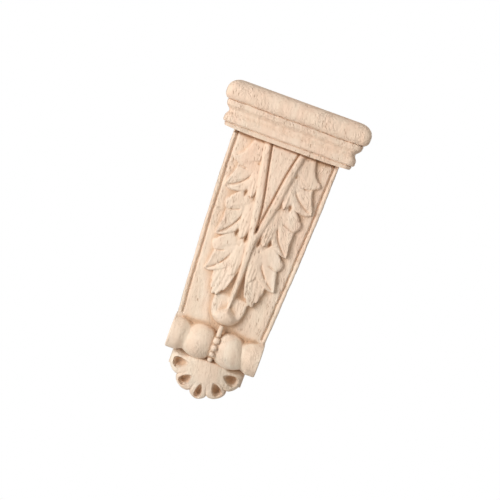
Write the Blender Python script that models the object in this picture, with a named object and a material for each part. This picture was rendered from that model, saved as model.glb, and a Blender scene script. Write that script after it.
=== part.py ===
"""A small carved corbel of pale wood, cut from one block: cap, acanthus panel, turned bolster and shell.

Lengths in the scene are metres and Z is up. The flat back lies in the plane y = 0, the carved front looks
towards -Y, and the origin is the middle of the back. Sizes below are in millimetres, and MM turns them into
metres. Inside the functions x runs to the right, z runs up, and depth is measured off the wall.
"""

import bpy
import numpy as np

MM = 0.001

HEIGHT = 110.0
TOP = HEIGHT / 2

# The tapering panel: half its width and its depth off the wall, at the cap and at the foot
PANEL_TOP = 38.7
PANEL_FOOT = -27.8
PANEL_INTO_CAP = 2.5
HALF_WIDTH_TOP = 18.8
TAPER = 2.75
GROUND_TOP = 13.0
GROUND_FOOT = 9.5
FOOT_HOLLOW = 1.1
FOOT_HOLLOW_Z = -30.0
FOOT_HOLLOW_TALL = 2.6
EDGE_ROUND = 0.6
WALL_SLOPE = 5.0
FAR_BELOW = -9.0

# Its border groove, and the undercut below the cap
BORDER = 1.65
BORDER_GROOVE_DEEP = 0.8
BORDER_GROOVE_WIDE = 0.36
BORDER_FADE = 3.0
UNDERCUT = 1.2
UNDERCUT_TALL = 0.55

# The three leaves of each side. A curve is root, bend and tip, as (x, z); a width is (outer side, inner side)
LEAVES = (
    dict(
        vein=((6.6, 31.5), (6.6, 23.4), (15.2, 20.1)),
        vein_width=(8.4, 5.6),
        vein_taper=0.53,
        lobe=((8.6, 42.0), (9.3, 31.3), (14.5, 30.0)),
        lobe_width=(2.1, 6.6),
        lobe_end=0.9,
        slim=((6.2, 30.0), (6.6, 24.0), (5.9, 19.2)),
        slim_width=(2.5, 2.3),
    ),
    dict(
        vein=((5.1, 17.0), (6.6, 7.6), (12.5, 3.7)),
        vein_width=(8.2, 4.2),
        vein_taper=0.7,
        lobe=((6.0, 18.5), (8.5, 16.6), (11.2, 14.9)),
        lobe_width=(3.8, 3.2),
        lobe_end=2.2,
        slim=((4.7, 17.0), (4.5, 10.0), (4.2, 5.0)),
        slim_width=(2.6, 3.4),
    ),
    dict(
        vein=((3.4, 3.0), (6.6, -6.0), (12.3, -9.0)),
        vein_width=(8.0, 4.2),
        vein_taper=0.7,
        lobe=((5.0, 3.5), (7.5, 1.8), (10.4, 0.2)),
        lobe_width=(3.6, 3.0),
        lobe_end=2.15,
        slim=((3.3, 2.0), (3.7, -4.5), (3.4, -8.2)),
        slim_width=(2.7, 3.0),
    ),
)
TIP_WIDTH = 0.3
LEAF_NECK = 0.4
LEAF_LOW = 1.0
LEAF_HIGH = 1.95
LOBE_HIGH = 1.75
LOBE_BLEND = 2.4
LEAF_DISH = 0.35
EDGE_EASE = 0.6
EDGE_DROP = 0.3
VEIN_DEEP = 0.75
VEIN_WIDE = 0.34
VEIN_START = 0.17
VEIN_STOP = 0.08
LOBE_SQUARE = 2.6
SLIM_LOW = 1.2
SLIM_RISE = 0.65
SLIM_TIP = 0.4

# The drilled eyes where the leaves part
EYES = ((4.35, 19.4), (8.0, 19.9), (2.3, 5.2), (5.9, 6.3))
EYE_DEEP = 1.1
EYE_HALF_WIDE = 0.42
EYE_HALF_TALL = 1.2

# How the leaves lean outwards, and the low bed they lie on beside the stem
LEAF_LEAN = 0.1
LEAF_LEVEL_AT = 8.0
BED_HIGH = 0.85
BED_EDGE = 6.2
BED_FALL = 0.7
BED_END = -9.0
BED_FADE = 3.0

# The fluted last leaf
FLUTED = ((5.2, -6.0), (5.6, -11.0), (6.5, -15.0))
FLUTED_WIDTH = (4.4, 3.9)
FLUTED_END = 1.5
FLUTED_LOW = 1.1
FLUTED_RISE = 0.8
FLUTE_PITCH = 1.6
FLUTE_HIGH = 0.18
FLUTE_SHIFT = 0.4

# The leaf's end, with its turned-over lip
TONGUE_TOP = -16.0
TONGUE_HEAD_FALL = 0.55
TONGUE_MID = -17.5
TONGUE_END = -25.4
TONGUE_HALF = 5.9
TONGUE_SQUARE = 2.3
TONGUE_LOW = 1.3
TONGUE_RISE = 0.16
LIP_TOP = -18.4
LIP_FALL = 0.8
LIP_CREST = -23.0
LIP_HIGH = 4.7
LIP_RUN = 2.1
LIP_BEND_DOWN = 0.074
LIP_BEND_ACROSS = 0.05
LIP_ROUND = 1.6
LIP_ROUND_RUN = 2.6

# The forked stem and the mid-rib
FORK_FOOT = 8.0
ARM_FOOT = 4.0
ARM_INSIDE = 5.0
ARM_OUTSIDE = 7.3
ARM_CREST = 2.45
ARM_FALL = 2.4
ARM_SHOULDER = 0.75
ARM_SHOULDER_RUN = 1.1
WEB = 2.0
WEB_RISE = 0.3
STEM_GROOVE_DEEP = 1.15
STEM_GROOVE_WIDE = 0.36
FORK_EYE_DEEP = 2.4
FORK_EYE_Z = 9.1
FORK_EYE_HALF_WIDE = 0.4
FORK_EYE_HALF_TALL = 1.3
RIB_HALF = 1.2
RIB_NARROWS = 0.75
RIB_CREST = 2.7
RIB_ROUND = 0.4
RIB_FALL = 3.4
RIB_END = -19.4

# The cap's profile, as overhangs beyond the panel and the heights where they are reached
CAP_UNDERSIDE = 38.6
CAP_ROOT = -2.0
FILLET_FOOT = 3.4
FILLET_HEAD = 3.8
FOOT_LIFT = 0.5
OVOLO_FOOT = 40.2
OVOLO = 4.5
OVOLO_LOW = 41.1
OVOLO_HIGH = 42.2
CAP_COVE = 3.6
CAP_COVE_MIDDLE = 44.4
UPPER_FILLET = 5.0
UPPER_FILLET_FOOT = 46.4
QUIRK = 0.2
BULLNOSE_FOOT = 47.75
BULLNOSE_STEP = 1.2
BULLNOSE = 6.5
BULLNOSE_LOW = 50.2
BULLNOSE_FRONT = 51.1
BULLNOSE_RUN = 4.4
CAP_CORNER = 2.4

# The bolster, turned about a level axis: radii along it, from the middle out
BOLSTER_Z = -34.0
BOLSTER_DEEP = 7.5
BEAD_GROOVE_HALF = 1.35
BEAD_GROOVE_RADIUS = 5.0
BULGE_MID = 5.6
BULGE_RADIUS = 6.5
BULGE_SHOULDER = 5.1
BULGE_LEAN_LEFT = 0.05
BULGE_LEAN_RIGHT = 0.16
COVE_X = 9.9
COVE_RADIUS = 5.05
FLANGE_SLOPE_TO = 13.4
FLANGE_RADIUS = 6.1
BOLSTER_END = 16.4
END_ROUND = 0.5

# The shell under it: lobes and hollows are symmetric, so the lists run from the middle lobe outwards
SHELL_Z = -41.3
SHELL_REACH = SHELL_Z + TOP
SHELL_NOTCH = 11.7
SHELL_SIDE = 13.4
SHELL_TAB = 5.0
LOBE_REACHES = (SHELL_REACH, 13.2, 13.6)
LOBE_EDGES = (0, 15.5, 33.5, 51.5, 70.5, 89.0)
SHELL_HUB_DEEP = 9.8
SHELL_RIM_DEEP = 6.0
SHELL_BEVEL = 2.6
BEVEL_FROM = 8.0
BEVEL_FADE = 2.5
BEVEL_TALL = 1.4
RIM_ROUND = 1.5
HOLLOWS = ((0.0, 8.2, 12.9, 1.9), (36.5, 6.7, 12.3, 2.5), (74.0, 6.6, 12.4, 2.8))
HOLLOW_DEEP = 3.9

# The string of beads in the bolster's middle groove: height and radius of each, and the rod above them
BEADS = ((-31.5, 1.25), (-33.95, 1.12), (-36.35, 1.0), (-38.8, 0.95))
BEAD_LINE_RADIUS = 5.5
ROD_RADIUS = 0.85
ROD_Z = -28.2
ROD_DEEP = 11.3
ROD_STRETCH = 2.7

# How closely the surfaces follow the forms
CELL = 0.42
PANEL_KEEP = 0.1
EDGE_COLUMNS = (EDGE_ROUND, 1.0, 1.3, BORDER, 2.0, 2.35)
MIDDLE_FROM = 2.8
SAW_ALLOWANCE = 1.0
SAW_BLOCK_DEEP = 4.0
SHARP_OVER_DEGREES = 35


def half_width(z):
    """Half the panel's width: the top width less a fall that grows as the 1.6th power of the way down."""
    fall = np.clip((PANEL_TOP - z) / (PANEL_TOP - PANEL_FOOT), 0, 1.1)
    return HALF_WIDTH_TOP - TAPER * fall**1.6


def ground(z):
    """Depth of the panel's ground: a long shallow hollow from cap to foot, and a short one along the foot."""
    rise = np.clip((z - PANEL_FOOT) / (PANEL_TOP - PANEL_FOOT), 0, 1.1)
    sinks = FOOT_HOLLOW * np.exp(-(((z - FOOT_HOLLOW_Z) / FOOT_HOLLOW_TALL) ** 2))
    return GROUND_FOOT + (GROUND_TOP - GROUND_FOOT) * rise**1.5 - sinks


def along(curve, x, z, steps=60):
    """Place of each point beside a curve through root, bend and tip: share of its length, side, overrun."""
    root, bend, tip = (np.array(point, float) for point in curve)
    t = np.linspace(0, 1, steps)[:, None]
    spine = (1 - t) ** 2 * root + 2 * t * (1 - t) * bend + t**2 * tip
    heading = 2 * (1 - t) * (bend - root) + 2 * t * (tip - bend)
    speed = np.hypot(heading[:, 0], heading[:, 1])
    dx = x.ravel()[:, None] - spine[:, 0]
    dz = z.ravel()[:, None] - spine[:, 1]
    near = np.argmin(dx**2 + dz**2, axis=1)
    rows = np.arange(near.size)
    dx, dz = dx[rows, near], dz[rows, near]
    ux, uz = heading[near, 0] / speed[near], heading[near, 1] / speed[near]
    share = t[near, 0] + (dx * ux + dz * uz) / speed[near]
    side = dz * ux - dx * uz
    over = np.maximum(np.maximum(share - 1, -share), 0) * speed[near]
    return np.clip(share, 0, 1).reshape(x.shape), side.reshape(x.shape), over.reshape(x.shape)


def blade(x, z, curve, widths, end=TIP_WIDTH, taper=0.6, square=2.0, neck=0.01):
    """Share along a blade, distance off its curve, the same over its half width, distance past its edge."""
    share, side, over = along(curve, x, z)
    outer = np.maximum(widths[0] * np.sqrt(np.clip(share / neck, 0, 1)), TIP_WIDTH)
    wide = np.where(side > 0, outer, widths[1])
    width = end + (wide - end) * (1 - share) ** taper
    reach = (np.abs(side) ** square + over**square) ** (1 / square)
    return share, side, reach / width, reach - width


def edged(top, past):
    """The height inside the edge, eased down close to it, and a steep straight wall beyond it."""
    ease = np.clip(1 + past / EDGE_EASE, 0, 1) ** 2
    return top - EDGE_DROP * ease - WALL_SLOPE * np.maximum(past, 0)


def leaf(x, z, parts):
    """One leaf: blade and lobe blended into one sheet, scored by the vein, and the slim leaflet on top."""
    vein, lobe, slim = parts["vein"], parts["lobe"], parts["slim"]
    taper = parts["vein_taper"]
    share, side, across, past = blade(x, z, vein, parts["vein_width"], taper=taper, neck=LEAF_NECK)
    dish = LEAF_DISH * np.minimum(across, 1) ** 2 * (side > 0)
    top = LEAF_LOW + (LEAF_HIGH - LEAF_LOW) * share + dish
    fade = np.clip(share / VEIN_START, 0, 1) * np.clip((1 - share) / VEIN_STOP, 0, 1)
    scored = VEIN_DEEP * fade * np.exp(-((np.abs(side) / VEIN_WIDE) ** 1.4))
    width, end = parts["lobe_width"], parts["lobe_end"]
    share, side, across, beyond = blade(x, z, lobe, width, end, square=LOBE_SQUARE)
    shoulder = LEAF_LOW + (LOBE_HIGH - LEAF_LOW) * share**0.7
    mix = np.clip(0.5 + (past - beyond) / LOBE_BLEND, 0, 1)
    sheet = top + (shoulder - top) * mix * mix * (3 - 2 * mix)
    broad = edged(sheet, np.minimum(past, beyond)) - scored
    share, side, across, past = blade(x, z, slim, parts["slim_width"], SLIM_TIP, taper=0.42)
    narrow = edged(SLIM_LOW + SLIM_RISE * share - LEAF_DISH * np.minimum(across, 1) ** 2, past)
    return np.maximum(broad, narrow)


def eyes(x, z):
    """Depth of the drilled eyes: a bell round each, taller than wide."""
    deep = np.zeros(x.shape)
    for ex, ez in EYES:
        away = ((x - ex) / EYE_HALF_WIDE) ** 2 + ((z - ez) / EYE_HALF_TALL) ** 2
        deep = np.maximum(deep, np.exp(-away))
    return EYE_DEEP * deep


def fluted_leaf(x, z):
    """The short last leaf: a square-ended blade carrying reeds."""
    share, side, across, past = blade(x, z, FLUTED, FLUTED_WIDTH, FLUTED_END, taper=0.5, square=3.0)
    flute = FLUTE_HIGH * np.abs(np.sin(np.pi * (side + FLUTE_SHIFT) / FLUTE_PITCH))
    return edged(FLUTED_LOW + FLUTED_RISE * share + flute, past)


def tongue(x, z):
    """The leaf's end: two panels that rise downwards inside a U, and its tip turned over as a low dome."""
    below = np.clip((TONGUE_MID - z) / (TONGUE_MID - TONGUE_END), 0, 3)
    reach = ((x / TONGUE_HALF) ** TONGUE_SQUARE + below**TONGUE_SQUARE) ** (1 / TONGUE_SQUARE)
    past = TONGUE_HALF * (reach - 1)
    panels = TONGUE_LOW + TONGUE_RISE * (TONGUE_MID - z) + LEAF_DISH * (x / TONGUE_HALF) ** 2
    panels = panels - TONGUE_HEAD_FALL * np.maximum(z - TONGUE_TOP, 0)
    over = np.clip((LIP_TOP - LIP_FALL * x - z) / LIP_RUN, 0, 1)
    dome = LIP_HIGH - LIP_BEND_DOWN * (z - LIP_CREST) ** 2 - LIP_BEND_ACROSS * x**2
    dome = dome - LIP_ROUND * np.clip(1 + past / LIP_ROUND_RUN, 0, 1) ** 2.2
    top = panels + np.maximum(dome - panels, 0) * over * over * (3 - 2 * over)
    return edged(top, past)


def forked_stem(x, z):
    """Height of the two arms and the web between, and depth of the grooves inside them and the fork's eye."""
    up = np.clip((z - FORK_FOOT) / (PANEL_TOP - FORK_FOOT), 0, 1.1)
    out = np.clip((z - ARM_FOOT) / (PANEL_TOP - ARM_FOOT), 0, 1.1)
    inside = ARM_INSIDE * up**1.3
    outside = RIB_HALF + (ARM_OUTSIDE - RIB_HALF) * out**0.8
    shoulder = ARM_SHOULDER * np.clip(1 + (x - outside) / ARM_SHOULDER_RUN, 0, 1) ** 2
    arm = ARM_CREST - shoulder - ARM_FALL * np.maximum(x - outside, 0)
    arm = np.where(x < inside, FAR_BELOW, arm)
    web = np.where(x < inside, WEB + WEB_RISE * (1 - up), FAR_BELOW)
    stem = np.where(z > FORK_FOOT, np.maximum(arm, web), np.where(z > ARM_FOOT - 1, arm, FAR_BELOW))
    groove = np.exp(-(((x - inside) / STEM_GROOVE_WIDE) ** 2)) * np.clip(up * 12, 0, 1)
    eye = np.exp(-((x / FORK_EYE_HALF_WIDE) ** 2))
    eye = eye * np.clip(1.4 - np.abs(z - FORK_EYE_Z) / FORK_EYE_HALF_TALL, 0, 1)
    return stem, STEM_GROOVE_DEEP * groove + FORK_EYE_DEEP * eye


def rib(x, z):
    """The mid-rib: flat on top, narrowing and sinking evenly from the fork to the tongue."""
    down = np.clip((FORK_FOOT + 1 - z) / (FORK_FOOT + 1 - RIB_END), 0, 1)
    half = RIB_HALF - RIB_NARROWS * down
    crest = RIB_CREST - 0.2 * down
    top = crest - RIB_ROUND * np.minimum(x / half, 1) ** 4 - RIB_FALL * np.maximum(x - half, 0)
    return np.where((z < FORK_FOOT + 1) & (z > RIB_END), top, FAR_BELOW)


def relief(x, z):
    """Height of the carving over the panel's ground, the same on both sides of the middle: the leaves lie on
    a low bed beside the stem and lean outwards."""
    x = np.abs(x)
    top = BED_HIGH * np.clip((z - BED_END) / BED_FADE, 0, 1) - BED_FALL * np.maximum(x - BED_EDGE, 0)
    for parts in LEAVES:
        top = np.maximum(top, leaf(x, z, parts))
    top = np.maximum(top, fluted_leaf(x, z)) - eyes(x, z)
    top = top + LEAF_LEAN * (LEAF_LEVEL_AT - x) * np.clip(top / LEAF_LOW, 0, 1)
    top = np.maximum(np.maximum(top, 0), tongue(x, z))
    stem, cut = forked_stem(x, z)
    top = np.maximum(np.maximum(top, stem), rib(x, z)) - cut
    border = np.exp(-(((x - half_width(z) + BORDER) / BORDER_GROOVE_WIDE) ** 2))
    border = BORDER_GROOVE_DEEP * border * np.clip((z - PANEL_FOOT - 1) * BORDER_FADE, 0, 1)
    return top - border - UNDERCUT * np.exp(-(((z - PANEL_TOP) / UNDERCUT_TALL) ** 2))


def stack_of_rings(name, rings):
    """A closed solid from equal rings of points, laid bottom to top, each running the same way round."""
    levels, count = rings.shape[:2]
    index = np.arange(levels * count).reshape(levels, count)
    a, b = index[:-1], np.roll(index[:-1], -1, axis=1)
    quads = np.stack([a, b, b + count, a + count], axis=-1).reshape(-1, 4)
    faces = quads.tolist() + [index[0, ::-1].tolist(), index[-1].tolist()]
    mesh = bpy.data.meshes.new(name)
    mesh.from_pydata((rings.reshape(-1, 3) * (MM, -MM, MM)).tolist(), [], faces)
    piece = bpy.data.objects.new(name, mesh)
    bpy.context.scene.collection.objects.link(piece)
    return piece


def panel():
    """The tapering block with its carving, as level sections from inside the bolster up into the cap."""
    level = np.arange(BOLSTER_Z, PANEL_TOP + PANEL_INTO_CAP, CELL)[:, None]
    w = half_width(level)
    edge = np.array(EDGE_COLUMNS)[None, :]
    middle = np.linspace(-1, 1, int(2 * HALF_WIDTH_TOP / CELL))[None, :]
    x = np.concatenate([edge - w, middle * (w - MIDDLE_FROM), (w - edge)[:, ::-1]], axis=1)
    z = level + 0 * x
    front = np.stack([x, ground(z) + relief(x, z), z], axis=-1)
    turn = np.linspace(0, np.pi / 2, 4)[None, :-1]
    out = np.concatenate([w, w - EDGE_ROUND + EDGE_ROUND * np.cos(turn)], axis=1)
    deep = ground(level) - EDGE_ROUND + EDGE_ROUND * np.sin(turn)
    deep = np.concatenate([0 * w - SAW_ALLOWANCE, deep], axis=1)
    side = np.stack([out, deep, level + 0 * out], axis=-1)
    rings = np.concatenate([side * (-1, 1, 1), front, side[:, ::-1]], axis=1)
    piece = stack_of_rings("carved_corbel", rings)
    thin = piece.modifiers.new("fewer facets", "DECIMATE")
    thin.ratio = PANEL_KEEP
    return piece


def line(start, end, steps):
    """Evenly spaced points from start up to, but not with, end."""
    return np.linspace(start, end, steps, endpoint=False)


def swing(start, end, steps):
    """Half a cosine from start towards end, upright at both."""
    ease = (1 - np.cos(np.linspace(0, np.pi, steps, endpoint=False))) / 2
    height = np.linspace(start[1], end[1], steps, endpoint=False)
    return np.stack([start[0] + (end[0] - start[0]) * ease, height], axis=1)


def quarter(start, end, rises_first, steps):
    """A quarter ellipse from start to end, which leaves straight up or straight out."""
    angle = np.linspace(0, np.pi / 2, steps + 1)
    ease_out, ease_in = np.sin(angle), 1 - np.cos(angle)
    over, up = (ease_in, ease_out) if rises_first else (ease_out, ease_in)
    return np.stack([start[0] + (end[0] - start[0]) * over, start[1] + (end[1] - start[1]) * up], axis=1)


def cap_profile():
    """Overhang and height, from the underside up: fillet, ovolo, cove, upper fillet and bullnose."""
    fillet_edge = (FILLET_HEAD, OVOLO_FOOT - QUIRK)
    upper_edge = (UPPER_FILLET + QUIRK, BULLNOSE_FOOT - QUIRK)
    bullnose_foot = (BULLNOSE - BULLNOSE_STEP, BULLNOSE_FOOT + 0.2 * QUIRK)
    return np.concatenate(
        [
            line((CAP_ROOT, CAP_UNDERSIDE), (FILLET_FOOT, CAP_UNDERSIDE), 1),
            line((FILLET_FOOT, CAP_UNDERSIDE), fillet_edge, 1),
            line(fillet_edge, (FILLET_HEAD - QUIRK, OVOLO_FOOT), 2),
            quarter((FILLET_HEAD - 0.5 * QUIRK, OVOLO_FOOT + 0.5 * QUIRK), (OVOLO, OVOLO_LOW), False, 3)[:-1],
            line((OVOLO, OVOLO_LOW), (OVOLO, OVOLO_HIGH), 1),
            swing((OVOLO, OVOLO_HIGH), (CAP_COVE, CAP_COVE_MIDDLE), 5),
            swing((CAP_COVE, CAP_COVE_MIDDLE), (UPPER_FILLET, UPPER_FILLET_FOOT), 5),
            line((UPPER_FILLET, UPPER_FILLET_FOOT), upper_edge, 1),
            line(upper_edge, (UPPER_FILLET, BULLNOSE_FOOT), 2),
            quarter(bullnose_foot, (BULLNOSE, BULLNOSE_LOW), False, 4),
            quarter((BULLNOSE, BULLNOSE_FRONT), (BULLNOSE - BULLNOSE_RUN, TOP), True, 7),
        ]
    )


def cap():
    """The cap: its profile carried round front and ends, with rounded corners and a foot that lifts there."""
    over, height = (column[:, None] for column in cap_profile().T)
    w, deep = HALF_WIDTH_TOP + over, GROUND_TOP + over
    turn = np.linspace(0, np.pi / 2, 6)[None, :]
    corner_x = w - CAP_CORNER + CAP_CORNER * np.cos(turn)
    corner_y = deep - CAP_CORNER + CAP_CORNER * np.sin(turn)
    front = np.linspace(1, 0, 6)[None, 1:-1]
    x = np.concatenate([w, corner_x, front * (w - CAP_CORNER)], axis=1)
    y = np.concatenate([0 * w - 1.2 * SAW_ALLOWANCE, corner_y, deep + 0 * front], axis=1)
    near_foot = np.clip((OVOLO_FOOT - height) / (OVOLO_FOOT - CAP_UNDERSIDE), 0, 1) * (over > 0)
    z = height + FOOT_LIFT * near_foot * (x / (HALF_WIDTH_TOP + FILLET_HEAD)) ** 4
    half = np.stack([x, y, z], axis=-1)
    return stack_of_rings("cap", np.concatenate([half * (-1, 1, 1), half[:, ::-1]], axis=1))


def bolster_radius(x):
    """Radius at a distance from the middle: groove, swelling bulge, cove, slope to the flange, eased end."""
    bulge_end = 2 * BULGE_MID - BEAD_GROOVE_HALF
    swell = np.clip((x - BEAD_GROOVE_HALF) / (bulge_end - BEAD_GROOVE_HALF), 0, 1)
    steepness = np.where(swell < 0.5, 0.6, 0.9)
    bulge = BULGE_SHOULDER + (BULGE_RADIUS - BULGE_SHOULDER) * np.sin(np.pi * swell) ** steepness
    slope = np.clip((x - COVE_X) / (FLANGE_SLOPE_TO - COVE_X), 0, 1)
    flange = COVE_RADIUS + (FLANGE_RADIUS - COVE_RADIUS) * (1 - np.cos(slope * np.pi)) / 2
    radius = np.where(x < bulge_end, bulge, np.where(x < COVE_X, COVE_RADIUS, flange))
    radius = np.where(x < BEAD_GROOVE_HALF, BEAD_GROOVE_RADIUS, radius)
    return radius - np.clip(x - BOLSTER_END + END_ROUND, 0, 1) ** 2


def bolster():
    """The bolster: half circles in front of its axis, closed by straight runs back to the wall. The bulges
    lean out below the axis and in above it."""
    bulge_end = 2 * BULGE_MID - BEAD_GROOVE_HALF
    groove = np.array([0.6, BEAD_GROOVE_HALF - 0.05])
    bulge = np.linspace(BEAD_GROOVE_HALF + 0.02, bulge_end - 0.02, 11)
    flange = np.linspace(COVE_X, FLANGE_SLOPE_TO, 6)
    end = np.array([BOLSTER_END - END_ROUND, BOLSTER_END])
    half = np.concatenate([groove, bulge, flange, end])
    x = np.concatenate([half[::-1], -half])[:, None]
    r = bolster_radius(np.abs(x))
    turn = np.linspace(-np.pi / 2, np.pi / 2, 17)[None, :]
    y = BOLSTER_DEEP + r * np.cos(turn)
    z = BOLSTER_Z + r * np.sin(turn)
    window = np.clip((FLANGE_SLOPE_TO - np.abs(x)) / (FLANGE_SLOPE_TO - COVE_X), 0, 1)
    lean = np.where(x > 0, BULGE_LEAN_RIGHT, BULGE_LEAN_LEFT) * window
    x = x * (1 - lean * np.sin(turn) * np.abs(np.cos(turn)) ** 0.3)
    back = 0 * r - 1.4 * SAW_ALLOWANCE
    y = np.concatenate([back, y, back], axis=1)
    z = np.concatenate([z[:, :1], z, z[:, -1:]], axis=1)
    x = np.concatenate([x[:, :1], x, x[:, -1:]], axis=1)
    return stack_of_rings("bolster", np.stack([x, y, z], axis=-1))


def shell_outline(turn):
    """Radius of the shell's edge by angle from straight down: five lobes, and above the last a plain tab."""
    even = np.interp(np.degrees(np.abs(turn)), LOBE_EDGES, (0, 18, 36, 54, 72, 90))
    tallest = np.interp(even, (0, 36, 72), LOBE_REACHES)
    lobes = SHELL_NOTCH + (tallest - SHELL_NOTCH) * np.abs(np.cos(np.radians(5 * even))) ** 0.65
    side = SHELL_SIDE / np.maximum(np.abs(np.sin(turn)), 0.1)
    tab = np.minimum(side, SHELL_TAB / np.maximum(-np.cos(turn), 0.01))
    return np.where(even < 72, lobes, np.where(np.abs(turn) <= np.pi / 2, np.maximum(tab, lobes), tab))


def hollow(x, drop):
    """Share of the hollows' depth: scoops that start at a point near the hub and end steeply at the rim."""
    deepest = np.zeros(x.shape)
    for angle, start, end, wide in HOLLOWS:
        out, down = np.sin(np.radians(angle)), np.cos(np.radians(angle))
        run = (np.abs(x) * out + drop * down - start) / (end - start)
        across = np.abs(np.abs(x) * down - drop * out)
        share = np.clip(run, 0, 1)
        width = wide * share**0.65 * np.sqrt(1 - share**4) + 0.05
        bowl = np.clip(1 - (across / width) ** 2, 0, 1) ** 0.8 * np.sin(np.pi * share**1.4) ** 0.8
        deepest = np.maximum(deepest, bowl * ((run > 0) & (run < 1)))
    return deepest


def shell_depth(x, z):
    """How far the shell stands off the wall: domed to the rim, hollowed, bevelled along its upper edge."""
    drop = SHELL_Z - z
    r = np.hypot(x, drop)
    deep = SHELL_HUB_DEEP - (SHELL_HUB_DEEP - SHELL_RIM_DEEP) * np.clip(r / SHELL_REACH, 0, 1) ** 1.6
    under_bulge = np.clip((BEVEL_FROM - np.abs(x)) / BEVEL_FADE, 0, 1)
    bevel = np.clip((z - SHELL_Z + 0.1 - 1.5 * under_bulge) / BEVEL_TALL, 0, 1)
    return deep - HOLLOW_DEEP * hollow(x, drop) - SHELL_BEVEL * bevel


def shell():
    """The shell in rings round its hub, each the outline scaled down, carried over the rim to the wall."""
    lower = np.linspace(-np.pi / 2, np.pi / 2, 61)
    upper = np.linspace(np.pi / 2, 3 * np.pi / 2, 11)[1:-1]
    turn = np.concatenate([lower, upper])[None, :]
    edge = shell_outline(np.where(turn > np.pi, turn - 2 * np.pi, turn))
    share = np.concatenate([[0.004, 0.25], np.linspace(0.45, 0.94, 12), [0.98, 1.0]])[:, None]
    ease = np.interp(share, (0.94, 0.98, 1.0), (0.0, 0.3 * RIM_ROUND, RIM_ROUND))
    x = share * edge * np.sin(turn)
    z = SHELL_Z - share * edge * np.cos(turn)
    front = np.stack([x, shell_depth(x, z) - ease, z], axis=-1)
    wall = np.stack([x[-1:], 0 * x[-1:] - 1.6 * SAW_ALLOWANCE, z[-1:]], axis=-1)
    return stack_of_rings("shell", np.concatenate([front, wall])[::-1])


def ball(name, centre, radius, stretch=1.0):
    """A small ball, or an upright rod with round ends where its two halves are moved apart."""
    lift = np.linspace(-np.pi / 2, np.pi / 2, 9)[1:-1, None]
    around = np.linspace(0, 2 * np.pi, 12, endpoint=False)[None, :]
    x = radius * np.cos(lift) * np.cos(around)
    y = -radius * np.cos(lift) * np.sin(around)
    z = radius * (np.sin(lift) + np.sign(np.round(lift, 3)) * (stretch - 1)) + 0 * around
    return stack_of_rings(name, np.stack([x, y, z], axis=-1) + centre)


def beads():
    """The rod under the tongue and the graduated beads that follow the bolster's curve."""
    string = [ball("rod", (0, ROD_DEEP, ROD_Z), ROD_RADIUS, ROD_STRETCH)]
    for k, (z, radius) in enumerate(BEADS):
        forward = np.sqrt(BEAD_LINE_RADIUS**2 - (z - BOLSTER_Z) ** 2)
        string.append(ball(f"bead_{k + 1}", (0, BOLSTER_DEEP + forward, z), radius))
    return string


def saw_block():
    """What the saw takes off to leave the back flat."""
    wide = 2 * HALF_WIDTH_TOP
    corners = np.array([(-wide, -SAW_BLOCK_DEEP), (wide, -SAW_BLOCK_DEEP), (wide, 0.0), (-wide, 0.0)])
    rings = [np.column_stack([corners, np.full(4, z)]) for z in (-HEIGHT, HEIGHT)]
    return stack_of_rings("saw_block", np.array(rings)[:, ::-1])


def join(body, helper, operation):
    """Adds a helper shape to the body, or cuts it away, and hides the helper."""
    boolean = body.modifiers.new(f"{operation.lower()} {helper.name}", "BOOLEAN")
    boolean.operation = operation
    boolean.object = helper
    helper.hide_render = True
    helper.display_type = "WIRE"


def wood():
    """Pale unfinished rubberwood."""
    material = bpy.data.materials.new("pale_wood")
    material.use_nodes = True
    shader = material.node_tree.nodes["Principled BSDF"]
    shader.inputs["Base Color"].default_value = (0.78, 0.60, 0.44, 1.0)
    shader.inputs["Roughness"].default_value = 0.62
    shader.inputs["Metallic"].default_value = 0.0
    return material


def main():
    for old in list(bpy.data.objects):
        bpy.data.objects.remove(old, do_unlink=True)
    body = panel()
    body.data.materials.append(wood())
    for helper in [cap(), bolster(), shell(), *beads()]:
        join(body, helper, "UNION")
    join(body, saw_block(), "DIFFERENCE")
    body.data.shade_smooth()
    body.data.set_sharp_from_angle(angle=np.radians(SHARP_OVER_DEGREES))


main()
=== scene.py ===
"""The looks of a small carved corbel of pale wood, 110 mm long: cap, acanthus panel, bolster and shell."""
import bpy
import numpy as np
from mathutils import Matrix, Vector


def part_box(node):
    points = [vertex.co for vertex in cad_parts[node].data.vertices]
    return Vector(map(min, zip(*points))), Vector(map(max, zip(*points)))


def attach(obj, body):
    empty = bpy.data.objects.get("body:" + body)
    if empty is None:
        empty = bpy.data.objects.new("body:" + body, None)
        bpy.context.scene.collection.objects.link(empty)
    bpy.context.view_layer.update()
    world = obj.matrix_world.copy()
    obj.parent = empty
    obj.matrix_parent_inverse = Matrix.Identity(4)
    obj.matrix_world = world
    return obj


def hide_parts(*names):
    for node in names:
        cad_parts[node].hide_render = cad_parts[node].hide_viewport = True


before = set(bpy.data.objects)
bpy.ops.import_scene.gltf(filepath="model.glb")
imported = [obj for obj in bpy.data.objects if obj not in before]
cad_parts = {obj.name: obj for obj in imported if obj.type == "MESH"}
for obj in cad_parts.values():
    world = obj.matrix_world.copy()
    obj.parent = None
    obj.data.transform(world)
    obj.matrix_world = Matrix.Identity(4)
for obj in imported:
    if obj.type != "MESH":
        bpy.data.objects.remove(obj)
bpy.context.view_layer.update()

# The block. One piece of pale wood, 110 mm long, sawn flat at the back and carved in front. Its ground is a
# tapering, slightly hollow panel with a groove cut down each border. Sizes here are in millimetres, with z
# up the block and y out of the wall.
MM = 0.001
LOW, HIGH = (np.array(corner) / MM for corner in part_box("carved_corbel"))
TOP = HIGH[2]
PANEL_TOP, PANEL_FOOT = 38.7, -27.8
HALF_WIDTH_TOP, TAPER = 18.8, 2.75
GROUND_TOP, GROUND_FOOT = 13.0, 9.5
FOOT_HOLLOW, FOOT_HOLLOW_Z, FOOT_HOLLOW_TALL = 1.1, -30.0, 2.6
EDGE_ROUND = 0.6
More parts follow.
